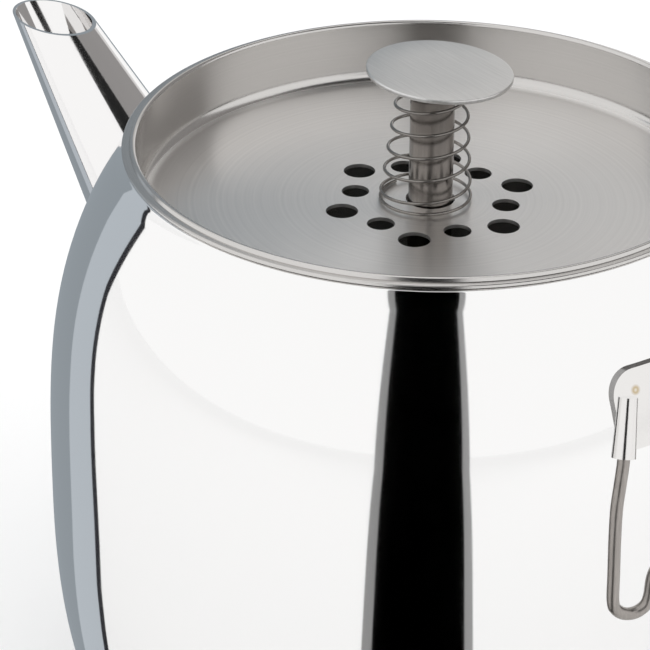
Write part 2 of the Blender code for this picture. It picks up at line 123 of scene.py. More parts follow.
GRIP_POINTS = (  # along X, the share of the bend's own side, and the height
    (-0.1015, 1.00, 0.1150),
    (-0.1105, 1.00, 0.1260),
    (-0.1160, 1.00, 0.1370),
    (-0.1180, 0.92, 0.1445),
    (-0.1185, 0.66, 0.1485),
    (-0.1185, 0.33, 0.1500),
    (-0.1185, 0.00, 0.1503),
)

DISH_INNER = 0.0629
DISH_FILLET = 0.0030
DISH_EDGE = 0.0004
WALL_FOOT = 0.0004
RISER_HOLE_RADIUS = 0.0053
OUTER_HOLES = (0.0201, 0.00345, 9.1)
INNER_HOLES = (0.0164, 0.00297, 39.1)
HOLES_PER_RING = 6
FLOOR_TOP = RIM_HEIGHT - 0.0135
FLOOR_UNDER = FLOOR_TOP - SHEET

DISC_TOP = RIM_HEIGHT + 0.0166
DISC_RADIUS = 0.0156
DISC_THICK = 0.0010
DISC_EDGE = 0.00028
DISC_OFFSET = 0.0014
DISC_TILT = math.radians(3.5)
LEAN_ANGLE = math.radians(50.0)

SPRING_FOOT_RADIUS = 0.0097
SPRING_HEAD_RADIUS = 0.0072
SPRING_WIRE = 0.00035
SPRING_TURNS = 5.2
SPRING_CLOSED_TURNS = 1.0
SPRING_LEAN = 0.0011
SPRING_POINTS_PER_TURN = 48

BASKET_WALL = 0.0007
BASKET_CORNER = 0.0050
BASKET_TURN_IN = 0.0035
BELL_RADIUS = 0.0280
BELL_LIFT = 0.0006

BODY_STEPS = 256
BARREL_STEPS = 192
SMALL_STEPS = 96

# Camera, fitted as a bearing round the pot, a pitch and a distance from the middle of the rim
CAMERA_BEARING = math.radians(140.0)
CAMERA_PITCH = math.radians(28.44)
CAMERA_ROLL = math.radians(0.50)
CAMERA_DISTANCE = 0.6592
CAMERA_RIGHT = -0.0206
CAMERA_UP = -0.0366
LENS = 171.4
SENSOR = 36.0
SHIFT_X = -0.0154
SHIFT_Y = -0.0185


# ---------------------------------------------------------------- materials

ACROSS_THE_RINGS = 0.25  # a quarter turn, because rings spread a highlight across themselves
ROUGHNESS_SHARE = 0.25
GRAIN_STRENGTH = 0.35
GRAIN_HEIGHT = 0.00002

class Nodes:
    """Short calls for building a node tree."""

    def __init__(self, material):
        self.tree = material.node_tree
        self.shader = self.tree.nodes["Principled BSDF"]

    def add(self, kind, inputs=(), **settings):
        node = self.tree.nodes.new(kind)
        for name, value in settings.items():
            setattr(node, name, value)
        for name, value in dict(inputs).items():
            if isinstance(value, bpy.types.NodeSocket):
                self.tree.links.new(value, node.inputs[name])
            else:
                node.inputs[name].default_value = value
        return node

    def to_shader(self, name, socket):
        self.tree.links.new(socket, self.shader.inputs[name])


def new_material(name, colour, roughness, metallic=1.0, anisotropic=0.0):
    material = bpy.data.materials.new(name)
    material.use_nodes = True
    shader = material.node_tree.nodes["Principled BSDF"]
    shader.inputs["Base Color"].default_value = (*colour, 1.0)
    shader.inputs["Roughness"].default_value = roughness
    shader.inputs["Metallic"].default_value = metallic
    shader.inputs["Anisotropic"].default_value = anisotropic
    return material


def vary(nodes, grain, colour, colour_share, roughness, bump_distance):
    """Let a grain pattern, from 0 to 1, shade the colour, the roughness and the surface's height."""
    dark = [c * (1 - colour_share) for c in colour]
    light = [min(1.0, c * (1 + colour_share)) for c in colour]
    mix = nodes.add("ShaderNodeMix", {"Factor": grain}, data_type="RGBA")
    mix.inputs["A"].default_value = (*dark, 1.0)
    mix.inputs["B"].default_value = (*light, 1.0)
    nodes.to_shader("Base Color", mix.outputs["Result"])
    spread = nodes.add("ShaderNodeMapRange", {"Value": grain})
    spread.inputs["To Min"].default_value = roughness * (1 - ROUGHNESS_SHARE)
    spread.inputs["To Max"].default_value = roughness * (1 + ROUGHNESS_SHARE)
    nodes.to_shader("Roughness", spread.outputs["Result"])
    bump = nodes.add("ShaderNodeBump", {"Height": grain})
    bump.inputs["Strength"].default_value = GRAIN_STRENGTH
    bump.inputs["Distance"].default_value = bump_distance
    nodes.to_shader("Normal", bump.outputs["Normal"])


def turned_steel(name, colour, roughness, rings_per_metre, anisotropic=0.0):
    """Steel finished on a lathe: fine rings round the pot's axis, crossed by faint cloudy wear."""
    material = new_material(name, colour, roughness, anisotropic=anisotropic)
    nodes = Nodes(material)
    place = nodes.add("ShaderNodeTexCoord").outputs["Object"]
    flat = nodes.add("ShaderNodeVectorMath", {0: place}, operation="MULTIPLY")
    flat.inputs[1].default_value = (1.0, 1.0, 0.0)
    radius = nodes.add("ShaderNodeVectorMath", {0: flat.outputs["Vector"]}, operation="LENGTH")
    height = nodes.add("ShaderNodeSeparateXYZ", {"Vector": place})
    across = nodes.add(
        "ShaderNodeMath", {0: radius.outputs["Value"], 1: height.outputs["Z"]}, operation="ADD"
    )
    rings = nodes.add("ShaderNodeTexNoise", {"W": across.outputs["Value"]}, noise_dimensions="1D")
    rings.inputs["Scale"].default_value = rings_per_metre
    rings.inputs["Detail"].default_value = 3.0
    cloud = nodes.add("ShaderNodeTexNoise", {"Vector": place})
    cloud.inputs["Scale"].default_value = 60.0
    cloud.inputs["Detail"].default_value = 4.0
    grain = nodes.add("ShaderNodeMix", {"A": rings.outputs["Fac"], "B": cloud.outputs["Fac"]})
    grain.inputs["Factor"].default_value = 0.30
    vary(nodes, grain.outputs["Result"], colour, 0.10, roughness, GRAIN_HEIGHT)
    if anisotropic:
        nodes.shader.inputs["Anisotropic Rotation"].default_value = ACROSS_THE_RINGS
        tangent = nodes.add("ShaderNodeTangent", direction_type="RADIAL", axis="Z")
        nodes.to_shader("Tangent", tangent.outputs["Tangent"])
    return material


def tint_welds(material, places):
    """Straw-coloured rings of heat tint round the spot welds."""
    nodes = Nodes(material)
    here = nodes.add("ShaderNodeTexCoord").outputs["Object"]
    nearest = 1.0
    for place in places:
        away = nodes.add("ShaderNodeVectorMath", {0: here}, operation="DISTANCE")
        away.inputs[1].default_value = place
        less = nodes.add("ShaderNodeMath", {0: away.outputs["Value"], 1: nearest}, operation="MINIMUM")
        nearest = less.outputs["Value"]
    share = nodes.add("ShaderNodeMapRange", {"Value": nearest})
    share.inputs["From Max"].default_value = WELD_RADIUS
    ramp = nodes.add("ShaderNodeValToRGB", {"Fac": share.outputs["Result"]})
    stops = ramp.color_ramp.elements
    stops[0].color = (0.74, 0.70, 0.62, 1.0)
    stops[1].color = nodes.shader.inputs["Base Color"].default_value
    stops.new(0.45).color = (0.52, 0.42, 0.27, 1.0)
    nodes.to_shader("Base Color", ramp.outputs["Color"])


def linear_steel(name, colour, roughness, stretch, share=0.12):
    """Steel brushed in straight strokes, long along the smallest of the stretches."""
    material = new_material(name, colour, roughness)
    nodes = Nodes(material)
    place = nodes.add("ShaderNodeTexCoord").outputs["Object"]
    strokes_at = nodes.add("ShaderNodeMapping", {"Vector": place})
    strokes_at.inputs["Rotation"].default_value = (0.0, 0.0, LEAN_ANGLE)
    strokes_at.inputs["Scale"].default_value = stretch
    strokes = nodes.add("ShaderNodeTexNoise", {"Vector": strokes_at.outputs["Vector"]})
    strokes.inputs["Scale"].default_value = 1.0
    strokes.inputs["Detail"].default_value = 4.0
    vary(nodes, strokes.outputs["Fac"], colour, share, roughness, GRAIN_HEIGHT)
    return material


def polished_steel(name, colour, roughness, ripple=0.00006):
    """Mirror-polished sheet: slow ripples left by drawing and buffing, and faint fine scratches."""
    material = new_material(name, colour, roughness)
    nodes = Nodes(material)
    place = nodes.add("ShaderNodeTexCoord").outputs["Object"]
    slow = nodes.add("ShaderNodeTexNoise", {"Vector": place})
    slow.inputs["Scale"].default_value = 22.0
    slow.inputs["Detail"].default_value = 1.0
    fine_at = nodes.add("ShaderNodeMapping", {"Vector": place})
    fine_at.inputs["Scale"].default_value = (900.0, 900.0, 120.0)
    fine = nodes.add("ShaderNodeTexNoise", {"Vector": fine_at.outputs["Vector"]})
    fine.inputs["Scale"].default_value = 1.0
    fine.inputs["Detail"].default_value = 3.0
    spread = nodes.add("ShaderNodeMapRange", {"Value": fine.outputs["Fac"]})
    spread.inputs["To Min"].default_value = roughness * 0.6
    spread.inputs["To Max"].default_value = roughness * 1.4
    nodes.to_shader("Roughness", spread.outputs["Result"])
    bump = nodes.add("ShaderNodeBump", {"Height": slow.outputs["Fac"]})
    bump.inputs["Strength"].default_value = 0.5
    bump.inputs["Distance"].default_value = ripple
    nodes.to_shader("Normal", bump.outputs["Normal"])
    return material


MIRROR = polished_steel("mirror_steel", (0.86, 0.855, 0.85), 0.045)
SPOUT_STEEL = polished_steel("spout_steel", (0.84, 0.83, 0.825), 0.07, ripple=0.00003)
DISH_STEEL = turned_steel("dish_steel", (0.75, 0.735, 0.72), 0.33, 1500.0, anisotropic=0.75)
# The dish's wall is the same sheet as its floor; its darker colour is painted shade, while its rings and
# roughness are its own finish.
DISH_WALL_PAINTED_SHADE = turned_steel("dish_wall_painted_shade_steel", (0.59, 0.575, 0.56), 0.20, 2600.0, anisotropic=0.5)
DISC_STEEL = linear_steel("disc_steel", (0.66, 0.655, 0.645), 0.34, (120.0, 2600.0, 700.0), share=0.16)
TUBE_STEEL = linear_steel("tube_steel", (0.34, 0.315, 0.295), 0.22, (2600.0, 2600.0, 60.0), share=0.30)
SPRING_STEEL = polished_steel("spring_steel", (0.26, 0.245, 0.23), 0.18, ripple=0.00001)
SATIN_STEEL = turned_steel("satin_steel", (0.66, 0.65, 0.635), 0.24, 2600.0)
WIRE_STEEL = linear_steel("wire_steel", (0.34, 0.315, 0.295), 0.34, (2600.0, 2600.0, 90.0), share=0.30)
BRACKET_STEEL = polished_steel("bracket_steel", (0.76, 0.745, 0.73), 0.16, ripple=0.00004)
# A darker copy of the bracket's steel for the plate's edges: painted shade for the dark outline that the
# edges reflect.
BRACKET_EDGE_PAINTED_SHADE = polished_steel("bracket_edge_painted_shade", (0.34, 0.335, 0.33), 0.20, ripple=0.00001)


# ---------------------------------------------------------------- shapes


def add_piece(name, data, material, body, replaced):
    """Link a mesh or curve, give it its material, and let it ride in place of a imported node."""
    data.materials.clear()
    data.materials.append(material)
    obj = bpy.data.objects.new(name, data)
    bpy.context.scene.collection.objects.link(obj)
    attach(obj, body)
    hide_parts(replaced)
    return obj


def bezier(start, handle_a, handle_b, end, count):
    points = interpolate_bezier(*(Vector((*p, 0.0)) for p in (start, handle_a, handle_b, end)), count)
    return [(p.x, p.y) for p in points]


def arc(centre, radius, first, last, count):
    found = []
    for i in range(count):
        angle = math.radians(first + (last - first) * i / (count - 1))
        found.append((centre[0] + radius * math.cos(angle), centre[1] + radius * math.sin(angle)))
    return found


def offset(profile, distance):
    """The profile moved sideways, to the left of its own direction for a positive distance."""
    moved = []
    for i, (r, z) in enumerate(profile):
        before = profile[max(i - 1, 0)]
        after = profile[min(i + 1, len(profile) - 1)]
        along = Vector((after[0] - before[0], after[1] - before[1])).normalized()
        moved.append((r - along.y * distance, z + along.x * distance))
    return moved


def ring_profile(outside, wall):
    return outside + offset(outside, -wall)[::-1]


def turned(name, profile, steps, closed=True):
    """A closed mesh: the profile turned about the pot's axis."""
    shape = bmesh.new()
    line = [shape.verts.new((r, 0.0, z)) for r, z in profile]
    pairs = zip(line, line[1:] + line[:1] if closed else line[1:])
    edges = [shape.edges.new(pair) for pair in pairs]
    bmesh.ops.spin(
        shape,
        geom=line + edges,
        cent=(0, 0, 0),
        axis=(0, 0, 1),
        angle=2 * math.pi,
        steps=steps,
        use_merge=True,
    )
    bmesh.ops.remove_doubles(shape, verts=shape.verts, dist=0.000001)
    bmesh.ops.recalc_face_normals(shape, faces=shape.faces)
    return finished(name, shape)


def finished(name, shape, sharp_degrees=38.0):
    mesh = bpy.data.meshes.new(name)
    shape.to_mesh(mesh)
    shape.free()
    mesh.shade_smooth()
    mesh.set_sharp_from_angle(angle=math.radians(sharp_degrees))
    return mesh


def cone_shape(start, end, radius_start, radius_end, sides):
    shape = bmesh.new()
    along = end - start
    bmesh.ops.create_cone(
        shape, cap_ends=True, segments=sides, radius1=radius_start, radius2=radius_end, depth=along.length
    )
    turn_to = along.to_track_quat("Z", "Y").to_matrix().to_4x4()
    bmesh.ops.transform(shape, matrix=Matrix.Translation((start + end) / 2) @ turn_to, verts=shape.verts)
    return shape


def boolean(mesh, other, operation):
    """The mesh cut by, joined to or kept inside another mesh."""
    base = bpy.data.objects.new("boolean_base", mesh)
    tool = bpy.data.objects.new("boolean_tool", other)
    for obj in (base, tool):
        bpy.context.scene.collection.objects.link(obj)
    step = base.modifiers.new("step", "BOOLEAN")
    step.operation = operation
    step.solver = "EXACT"
    step.object = tool
    bpy.context.view_layer.update()
    made = bpy.data.meshes.new_from_object(base.evaluated_get(bpy.context.evaluated_depsgraph_get()))
    made.name = mesh.name
    for obj in (base, tool):
        bpy.data.objects.remove(obj, do_unlink=True)
    return made


def smoothed(mesh, sharp_degrees=38.0):
    mesh.shade_smooth()
    mesh.set_sharp_from_angle(angle=math.radians(sharp_degrees))
    return mesh


def bevelled(obj, width, degrees=40.0, segments=2):
    edge = obj.modifiers.new("soft_edges", "BEVEL")
    edge.width = width
    edge.segments = segments
    edge.limit_method = "ANGLE"
    edge.angle_limit = math.radians(degrees)
    edge.harden_normals = True
    return obj


def wire_curve(name, points, radius, bevel_resolution=6):
    curve = bpy.data.curves.new(name, "CURVE")
    curve.dimensions = "3D"
    curve.bevel_depth = radius
    curve.bevel_resolution = bevel_resolution
    curve.use_fill_caps = True
    spline = curve.splines.new("POLY")
    spline.points.add(len(points) - 1)
    for point, place in zip(spline.points, points):
        point.co = (*place, 1.0)
    return curve


def mesh_of_curve(curve):
    source = bpy.data.objects.new(curve.name + "_source", curve)
    bpy.context.scene.collection.objects.link(source)
    bpy.context.view_layer.update()
    mesh = bpy.data.meshes.new_from_object(source.evaluated_get(bpy.context.evaluated_depsgraph_get()))
    bpy.data.objects.remove(source, do_unlink=True)
    shape = bmesh.new()
    shape.from_mesh(mesh)
    bmesh.ops.remove_doubles(shape, verts=shape.verts, dist=0.000005)
    bmesh.ops.recalc_face_normals(shape, faces=shape.faces)
    return finished(curve.name, shape)


def smooth_path(points, per_span):
    path = [Vector(p) for p in points]
    ends = [path[0] * 2 - path[1], *path, path[-1] * 2 - path[-2]]
    found = []
    for a, b, c, d in zip(ends, ends[1:], ends[2:], ends[3:]):
        for i in range(per_span):
            t = i / per_span
            linear = (c - a) * t
            square = (2 * a - 5 * b + 4 * c - d) * t**2
            cube = (3 * b - a - 3 * c + d) * t**3
            found.append(0.5 * (2 * b + linear + square + cube))
    return [*found, path[-1]]


# ---------------------------------------------------------------- pot


def pot_outside(count):
    rim = (DISH_RADIUS - 0.0001, POT_TOP - 0.0010)
    belly = (BELLY_RADIUS, BELLY_HEIGHT)
    shoulder = bezier(rim, *SHOULDER_HANDLES, belly, count)
    hip = bezier(belly, *HIP_HANDLES, (BASE_RADIUS, 0.0), count)
    return shoulder + hip[1:]


POT_LINE = pot_outside(60)


def pot_radius(height):
    for (r1, z1), (r2, z2) in zip(POT_LINE, POT_LINE[1:]):
        if z2 <= height <= z1:
            return r1 + (r2 - r1) * (z1 - height) / (z1 - z2)
    return POT_LINE[0][0]


def spout_direction():
    return (SPOUT_TIP - SPOUT_FOOT).normalized()


def make_pot():
    outside = pot_outside(30)
    inside = [(max(r, BASE_RADIUS - SHEET), max(z, 0.0)) for r, z in offset(outside, -SHEET)]
    inside[0] = (MOUTH_RADIUS, POT_TOP - MOUTH_DEPTH)
    rim = arc((DISH_RADIUS - SHEET, POT_TOP - RIM_EDGE), RIM_EDGE, 90, 20, 4)
    profile = rim + outside + inside[::-1] + [(MOUTH_RADIUS, POT_TOP)]
    through = spout_direction() * SPOUT_BACK
    hole = cone_shape(SPOUT_FOOT - through, SPOUT_FOOT + through, SPOUT_HOLE_RADIUS, SPOUT_HOLE_RADIUS, 64)
    mesh = boolean(turned("pot", profile, BODY_STEPS), finished("hole", hole), "DIFFERENCE")
    add_piece("polished_pot", smoothed(mesh), MIRROR, "pot", "pot_body")


def make_spout():
    along = spout_direction()
    length = (SPOUT_TIP - SPOUT_FOOT).length
    taper = (SPOUT_TIP_RADIUS - SPOUT_FOOT_RADIUS) / length
    start = SPOUT_FOOT - along * SPOUT_BACK
    end = SPOUT_TIP + along * SPOUT_OVERRUN
    radius_start = SPOUT_FOOT_RADIUS - taper * SPOUT_BACK
    radius_end = SPOUT_TIP_RADIUS + taper * SPOUT_OVERRUN
    mesh = finished("spout", cone_shape(start, end, radius_start, radius_end, SPOUT_SIDES))
    more = along * BORE_MARGIN
    bore = cone_shape(start - more, end + more, radius_start - SHEET, radius_end - SHEET, SPOUT_SIDES)
    mesh = boolean(mesh, finished("bore", bore), "DIFFERENCE")
    clear = offset(pot_outside(30), GAP * 0.2)
    clear[0] = (clear[0][0], clear[0][1] + BARREL_MARGIN)
    clear[-1] = (clear[-1][0], -BARREL_MARGIN)
    barrel = [(0.0, clear[0][1]), *clear, (0.0, -BARREL_MARGIN)]
    mesh = boolean(mesh, turned("body", barrel, BARREL_STEPS, False), "DIFFERENCE")
    box = bmesh.new()
    above_tip = Matrix.Translation(SPOUT_TIP + Vector((0, 0, LEVEL_BOX / 2)))
    bmesh.ops.create_cube(box, size=LEVEL_BOX)
    bmesh.ops.transform(box, matrix=above_tip, verts=box.verts)
    mesh = boolean(mesh, finished("level", box), "DIFFERENCE")
    spout = add_piece("polished_spout", smoothed(mesh, 30.0), SPOUT_STEEL, "pot", "spout")
    bevelled(spout, SPOUT_LIP_BEVEL)


def beside_pot(across, height, standoff):
    radius = pot_radius(height) + standoff
    return Vector((-math.sqrt(radius**2 - across**2), across, height))


def socket_places(side):
    standoff = GAP + SOCKET_RADIUS - SOCKET_SINK
    low = beside_pot(SOCKET_SIDE_BOTTOM, SOCKET_BOTTOM, standoff)
    high = beside_pot(SOCKET_SIDE_TOP, SOCKET_TOP, standoff)
    return [Vector((end.x, side * end.y, end.z)) for end in (low, high)]


def rounded_outline(half_width, half_height, top_corner, bottom_corner):
    points = []
    for x_sign, y_sign, first, corner in (
        (1, 1, 0, top_corner),
        (-1, 1, 90, top_corner),
        (-1, -1, 180, bottom_corner),
        (1, -1, 270, bottom_corner),
    ):
        centre = (x_sign * (half_width - corner), y_sign * (half_height - corner))
        points += arc(centre, corner, first, first + 90, 12)
    return points


def make_bracket():
    """A plate wrapped on the barrel with two pressed sockets that splay with the wire's ends."""
    count = 12
    tall = BRACKET_TOP - BRACKET_BOTTOM + BARREL_MARGIN * 2
    heights = [BRACKET_TOP + BARREL_MARGIN - tall * i / count for i in range(count + 1)]
    outer = [(pot_radius(z) + GAP + BRACKET_THICK, z) for z in heights]
    inner = [(pot_radius(z) + GAP * 0.3, z) for z in heights]
    half_height = (BRACKET_TOP - BRACKET_BOTTOM) / 2
    prism = bmesh.new()
    corners = rounded_outline(BRACKET_HALF_WIDTH, half_height, BRACKET_CORNER, BRACKET_LOW_CORNER)
    middle = (BRACKET_TOP + BRACKET_BOTTOM) / 2
    face = prism.faces.new([prism.verts.new((-0.105, y, z + middle)) for y, z in corners])
    pushed = bmesh.ops.extrude_face_region(prism, geom=[face])
    moved = [v for v in pushed["geom"] if isinstance(v, bmesh.types.BMVert)]
    bmesh.ops.translate(prism, verts=moved, vec=(0.050, 0.0, 0.0))
    bmesh.ops.recalc_face_normals(prism, faces=prism.faces)
    band = turned("band", outer + inner[::-1], BRACKET_ROUND_STEPS)
    mesh = boolean(finished("bracket", prism), band, "INTERSECT")
    for side in (-1, 1):
        low, high = socket_places(side)
        axis = (high - low).normalized()
        stem = cone_shape(low, high, SOCKET_RADIUS, SOCKET_RADIUS * SOCKET_TAPER, 48)
        mesh = boolean(mesh, finished("stem", stem), "UNION")
        bore = WIRE_RADIUS + GAP
        hole = cone_shape(low - axis * 0.01, high - axis * SOCKET_CAP, bore, bore, 32)
        mesh = boolean(mesh, finished("hole", hole), "DIFFERENCE")
    clear = offset(pot_outside(30), GAP * 0.3)
    barrel = [(0.0, clear[0][1]), *clear, (0.0, 0.0)]
    mesh = boolean(mesh, turned("body", barrel, BARREL_STEPS, False), "DIFFERENCE")
    made = add_piece(
        "welded_bracket", smoothed(mesh, 30.0), BRACKET_STEEL, "pot", "handle_bracket"
    )
    face_at = GAP + BRACKET_THICK
    tint_welds(BRACKET_STEEL, [beside_pot(side * WELD_SIDE, WELD_HEIGHT, face_at) for side in (-1, 1)])
    made.visible_glossy = False
    # The plate's edge faces take the darker copy: painted shade along the edges.
    made.data.materials.append(BRACKET_EDGE_PAINTED_SHADE)
    for face in made.data.polygons:
        outwards = Vector((face.center.x, face.center.y, 0.0)).normalized()
        plate = (face.center.xy.length - pot_radius(face.center.z)) < GAP + BRACKET_THICK * 1.1
        face.material_index = int(plate and abs(face.normal.dot(outwards)) < 0.6)
    bevelled(made, BRACKET_BEVEL)


def make_handle():
    low, high = socket_places(1)
    axis = (high - low).normalized()
    leg = [low + axis * 0.0070, low + axis * 0.0035, low - axis * 0.0010]
    for across, height in LEG_POINTS:
        leg.append(beside_pot(across, height, WIRE_STANDOFF))
    start = beside_pot(LEG_SIDE, BEND_HEIGHT, WIRE_STANDOFF)
    inwards = Vector((-math.sin(BEND_TURN), -math.cos(BEND_TURN), 0.0))
    bend = []
    for degrees in range(0, 181, 36):
        angle = math.radians(degrees)
        sideways = BEND_RADIUS * (1 - math.cos(angle))
        bend.append(start + inwards * sideways - Vector((0.0, 0.0, BEND_RADIUS * math.sin(angle))))
    rise = bend[-1]
    grip = [
        Vector((rise.x - 0.0010, rise.y, 0.0970)),
        Vector((rise.x - 0.0060, rise.y, 0.1050)),
        *[Vector((x, rise.y * share, z)) for x, share, z in GRIP_POINTS],
    ]
    side = leg + bend + grip
    other = [Vector((p.x, -p.y, p.z)) for p in side[-2::-1]]
    curve = wire_curve("bent_wire_handle", smooth_path(side + other, 10), WIRE_RADIUS)
    mesh = mesh_of_curve(curve)
    handle = add_piece("bent_wire_handle", mesh, WIRE_STEEL, "pot", "wire_handle")
    handle.visible_glossy = False


# ---------------------------------------------------------------- insert


def upright_cylinders(places, radius, low, high, sides):
    shape = bmesh.new()
    for x, y in places:
        at = Matrix.Translation((x, y, (low + high) / 2))
        bmesh.ops.create_cone(
            shape, cap_ends=True, segments=sides, radius1=radius, radius2=radius, depth=high - low, matrix=at
        )
    return finished("holes", shape)


def on_ring(radius, count, first_degrees):
    angles = [math.radians(first_degrees) + 2 * math.pi * i / count for i in range(count)]
    return [(radius * math.cos(a), radius * math.sin(a)) for a in angles]


def make_dish():
    edge = arc((DISH_RADIUS - DISH_EDGE, RIM_HEIGHT - DISH_EDGE), DISH_EDGE, -60, 90, 6)
    lip_centre = (DISH_INNER + LIP, RIM_HEIGHT)
    fillet_centre = (DISH_INNER - DISH_FILLET, FLOOR_TOP + DISH_FILLET)
    top = [*edge, (DISH_INNER + LIP * 1.9, RIM_HEIGHT + 0.00005)]
    top += arc(lip_centre, LIP, 60, 180, 12)
    top += arc(fillet_centre, DISH_FILLET, 0, -90, 16)
    top += [(DISH_INNER * (0.94 - 0.08 * i), FLOOR_TOP) for i in range(1, 11)]
    top += [(RISER_HOLE_RADIUS, FLOOR_TOP)]
    under = [(RISER_HOLE_RADIUS, FLOOR_UNDER)]
    under += arc(fillet_centre, DISH_FILLET + SHEET, -90, 0, 16)
    under += [(DISH_INNER + SHEET, RIM_HEIGHT - SHEET), (DISH_RADIUS - 0.0003, RIM_HEIGHT - SHEET)]
    mesh = turned("dish", top + under, BODY_STEPS)
    for ring, radius, first in (OUTER_HOLES, INNER_HOLES):
        places = on_ring(ring, HOLES_PER_RING, first)
        holes = upright_cylinders(places, radius, FLOOR_UNDER - 0.002, FLOOR_TOP + 0.002, 48)
        mesh = boolean(mesh, holes, "DIFFERENCE")
    dish = add_piece("brushed_dish", smoothed(mesh), DISH_STEEL, "dish", "spreader_dish")
    # The wall above the floor takes the darker copy: painted shade.
    dish.data.materials.append(DISH_WALL_PAINTED_SHADE)
    for face in dish.data.polygons:
        face.material_index = int(face.center.z > FLOOR_TOP + WALL_FOOT)


def make_disc():
    profile = [(0.0, 0.0), (DISC_RADIUS * 0.5, 0.0)]
    profile += arc((DISC_RADIUS - DISC_EDGE, -DISC_EDGE), DISC_EDGE, 90, 0, 6)
    profile += arc((DISC_RADIUS - DISC_EDGE, DISC_EDGE - DISC_THICK), DISC_EDGE, 0, -90, 6)
    profile += [(0.0, -DISC_THICK)]
    mesh = turned("disc", profile, SMALL_STEPS * 2, False)
    away = Vector((-math.cos(LEAN_ANGLE), -math.sin(LEAN_ANGLE), 0.0))
    tilt = Matrix.Rotation(DISC_TILT, 4, Vector((0, 0, 1)).cross(away))
    mesh.transform(Matrix.Translation(away * DISC_OFFSET + Vector((0, 0, DISC_TOP))) @ tilt)
    add_piece("brushed_disc", mesh, DISC_STEEL, "riser", "press_disc")


def make_tube():
    outside = [(TUBE_RADIUS, tube_high.z - 0.00002), (TUBE_RADIUS, tube_low.z)]
    mesh = turned("tube", ring_profile(outside, TUBE_RADIUS - TUBE_BORE), SMALL_STEPS)
    slot = bmesh.new()
    low = tube_high.z - OUTLET_LOW
    high = tube_high.z - OUTLET_HIGH
    turn_to = Matrix.Rotation(LEAN_ANGLE, 4, "Z")
    size = Matrix.Diagonal((OUTLET_CUT, OUTLET_WIDTH, high - low, 1.0))
    place = Matrix.Translation((0, 0, (low + high) / 2))
    bmesh.ops.create_cube(slot, size=1.0, matrix=place @ turn_to @ size)
    mesh = boolean(mesh, finished("slot", slot), "DIFFERENCE")
    add_piece("brushed_riser", smoothed(mesh), TUBE_STEEL, "riser", "riser_tube")


def make_spring():
    start = FLOOR_TOP + SPRING_WIRE + 0.0001
    end = spring_high.z - SPRING_WIRE
    total = SPRING_TURNS + SPRING_CLOSED_TURNS
    count = int(total * SPRING_POINTS_PER_TURN)
    closed_rise = 2.6 * SPRING_WIRE
    points = []
    for i in range(count + 1):
        turns = total * i / count
        share = max(turns - SPRING_CLOSED_TURNS, 0.0) / SPRING_TURNS
        radius = SPRING_FOOT_RADIUS + (SPRING_HEAD_RADIUS - SPRING_FOOT_RADIUS) * share
        closed = min(turns / SPRING_CLOSED_TURNS, 1.0)
        height = start + closed_rise * closed + (end - start - closed_rise) * share
        angle = 2 * math.pi * turns
        lean = SPRING_LEAN * (1.0 - share)
        x = radius * math.cos(angle) + lean * math.cos(LEAN_ANGLE)
        y = radius * math.sin(angle) + lean * math.sin(LEAN_ANGLE)
        points.append(Vector((x, y, height)))
    curve = wire_curve("coiled_spring", points, SPRING_WIRE, 4)
    mesh = mesh_of_curve(curve)
    spring = add_piece("coiled_spring", mesh, SPRING_STEEL, "dish", "conical_spring")
    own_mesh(spring)


def make_basket():
    """The basket's wall and the bell, turned finely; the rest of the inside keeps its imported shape."""
    radius = basket_high.x
    centre = (radius - BASKET_CORNER, basket_low.z + BASKET_CORNER)
    outside = [(radius, basket_high.z), *arc(centre, BASKET_CORNER, 0, -90, 14)]
    outside += [(centre[0] - BASKET_TURN_IN, basket_low.z)]
    wall = turned("basket", ring_profile(outside, BASKET_WALL), BODY_STEPS // 2)
    add_piece("drawn_basket", wall, SATIN_STEEL, "basket", "coffee_basket")
    neck = TUBE_RADIUS + GAP + SHEET
    foot = bell_low.z + BELL_LIFT
    bell_handles = ((neck, foot + 0.0055), (0.0200, foot + 0.0080))
    flare = bezier((neck, bell_high.z), *bell_handles, (BELL_RADIUS, foot), 24)
    bell = turned("bell", ring_profile(flare, SHEET), SMALL_STEPS)
    add_piece("spun_bell", bell, SATIN_STEEL, "riser", "bell_foot")


def finish_packed_nodes():
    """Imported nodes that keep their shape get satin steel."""
    for name in ("pot_base", "basket_collar", "stop_collar", "basket_floor", "basket_sleeve"):
        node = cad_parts[name]
        node.data.materials.clear()
        node.data.materials.append(SATIN_STEEL)


# ---------------------------------------------------------------- studio


def glow(name, colour, strength):
    material = bpy.data.materials.new(name)
    material.use_nodes = True
    tree = material.node_tree
    tree.nodes.clear()
    light = tree.nodes.new("ShaderNodeEmission")
    light.inputs["Color"].default_value = (*colour, 1.0)
    light.inputs["Strength"].default_value = strength
    out = tree.nodes.new("ShaderNodeOutputMaterial")
    tree.links.new(light.outputs["Emission"], out.inputs["Surface"])
    return material


def stage_piece(name, shape, material, only_in_reflections=True):
    mesh = bpy.data.meshes.new(name)
    shape.to_mesh(mesh)
    shape.free()
    mesh.materials.append(material)
    obj = bpy.data.objects.new(name, mesh)
    bpy.context.scene.collection.objects.link(obj)
    if only_in_reflections:
        obj.visible_camera = False
        obj.visible_diffuse = False
        obj.visible_shadow = False
    return obj


def card(name, first, last, rings, colour, strength):
    """A curved studio card round the pot: bearings in degrees from the camera's, and a line of
    (distance, height, turn) points that it follows from the floor up, each turned by some degrees."""
    shape = bmesh.new()
    steps = 12
    rows = []
    for distance, height, turn in rings:
        row = []
        for i in range(steps + 1):
            bearing = CAMERA_BEARING + math.radians(turn + first + (last - first) * i / steps)
            row.append(shape.verts.new((distance * math.cos(bearing), distance * math.sin(bearing), height)))
        rows.append(row)
    for low, high in zip(rows, rows[1:]):
        for i in range(steps):
            shape.faces.new((low[i], low[i + 1], high[i + 1], high[i]))
    return stage_piece(name, shape, glow(name, colour, strength))


